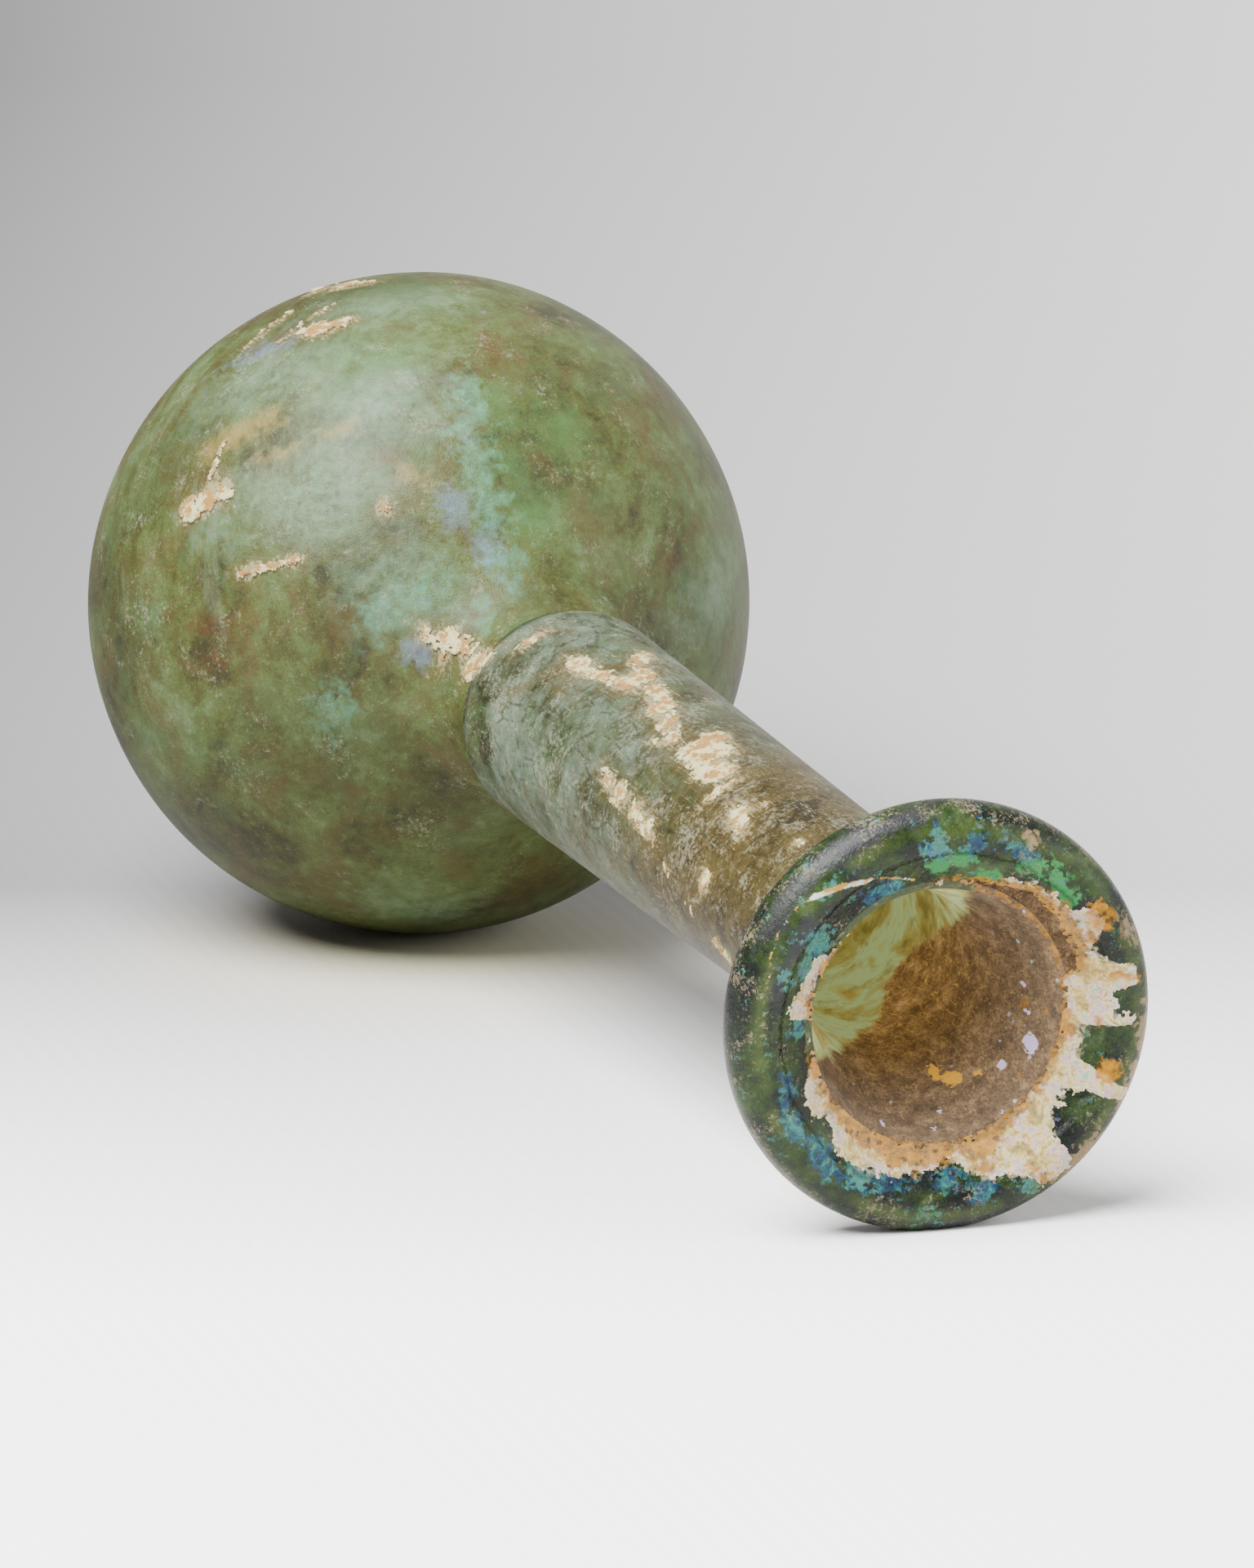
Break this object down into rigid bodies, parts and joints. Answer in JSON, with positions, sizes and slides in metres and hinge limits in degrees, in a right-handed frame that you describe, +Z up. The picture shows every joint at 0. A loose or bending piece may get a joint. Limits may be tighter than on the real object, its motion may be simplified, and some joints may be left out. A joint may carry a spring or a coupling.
{
  "type": "roman glass bottle",
  "caption": "Hollow blown-glass bottle with a round body, a long narrow neck and a thick folded rim, lying on its side, with an iridescent weathered surface.",
  "frame": {"origin": "on the surface that the bottle lies on, under the middle of its bounding box", "axes": "+Z up, -Y towards the mouth, the bottle's centre line in the YZ plane and sloping down 6 degrees towards the mouth"},
  "size_m": [0.0794, 0.1926, 0.0793],
  "materials": {
    "weathered_glass": "green glass with an iridescent weathering skin, cream and ochre flaking film at the mouth and brown soil inside"
  },
  "bodies": {
    "root": {"flask": "weathered_glass"}
  },
  "joints": []
}
